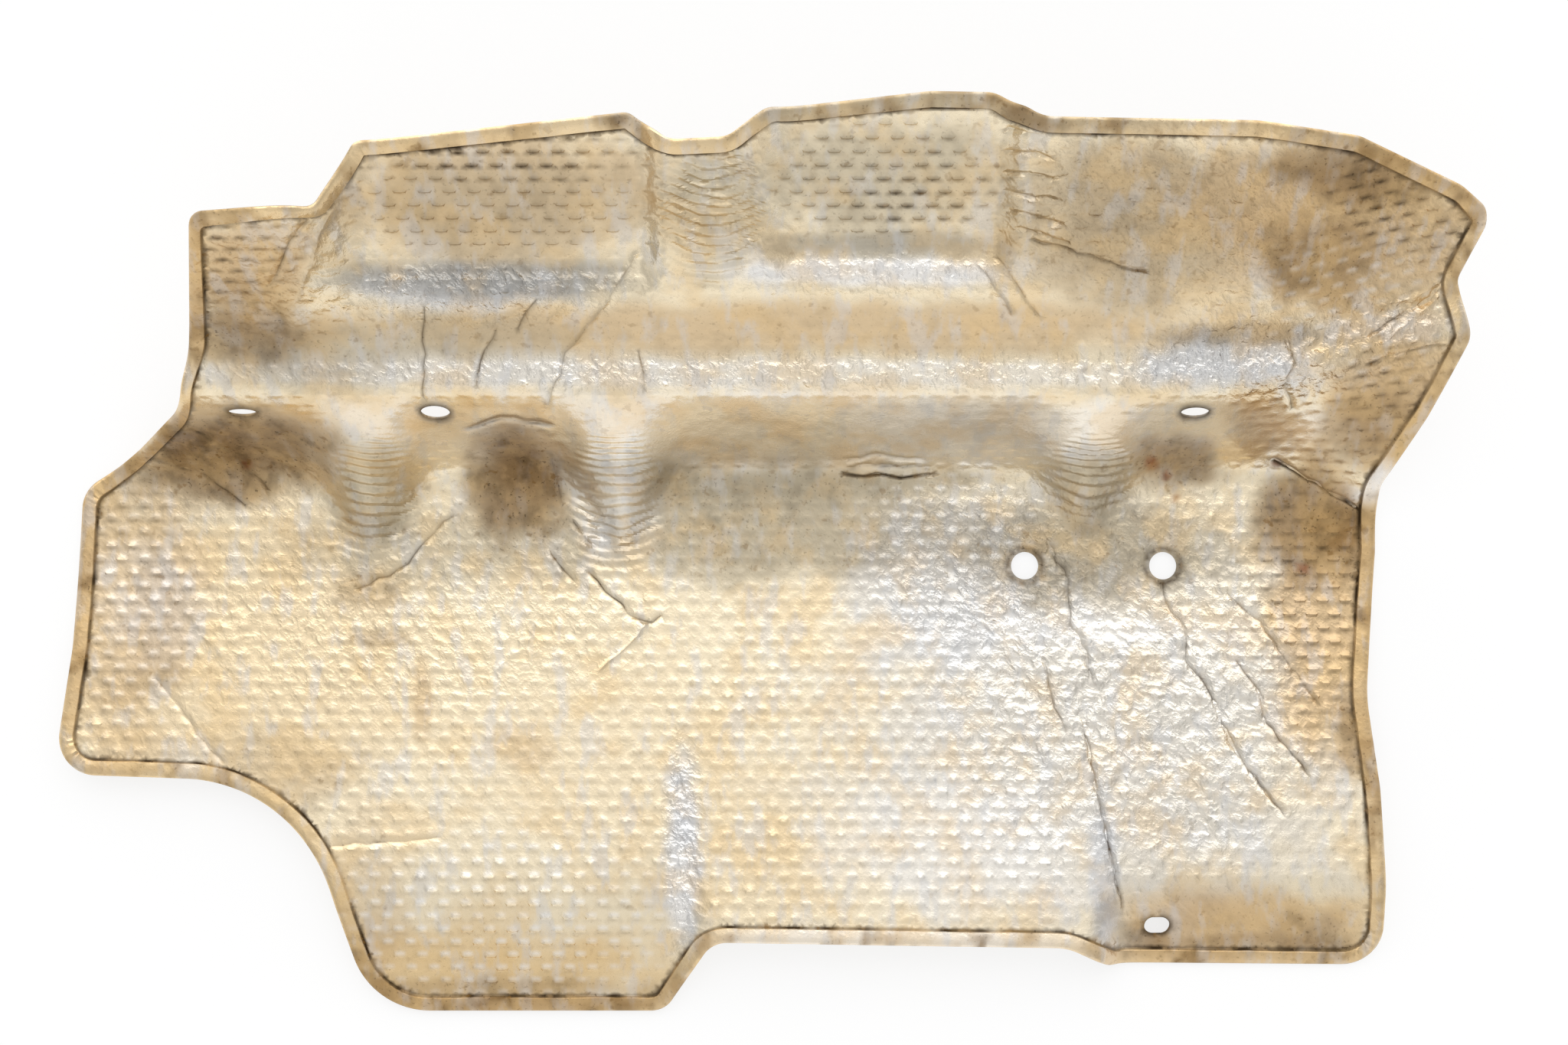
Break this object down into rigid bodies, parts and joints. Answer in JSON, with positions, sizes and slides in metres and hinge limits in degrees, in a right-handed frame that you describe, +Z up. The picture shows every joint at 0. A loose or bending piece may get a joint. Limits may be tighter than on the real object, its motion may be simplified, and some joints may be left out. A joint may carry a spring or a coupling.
{
  "type": "heat shield",
  "caption": "Pressed, embossed aluminium heat shield with a hemmed rim, a stepped wall with set-back pockets, and punched bolt holes.",
  "frame": {"origin": "centre of the bounding box in plan, on the floor the shield lies on", "axes": "+X along the shield, +Y from the lower panel to the upper wall, +Z up, towards the embossed front"},
  "size_m": [0.5006, 0.317, 0.1037],
  "materials": {
    "aluminium_sheet": "embossed, heat-stained and dirty from use"
  },
  "bodies": {
    "root": {"heat_shield": "aluminium_sheet"}
  },
  "joints": []
}
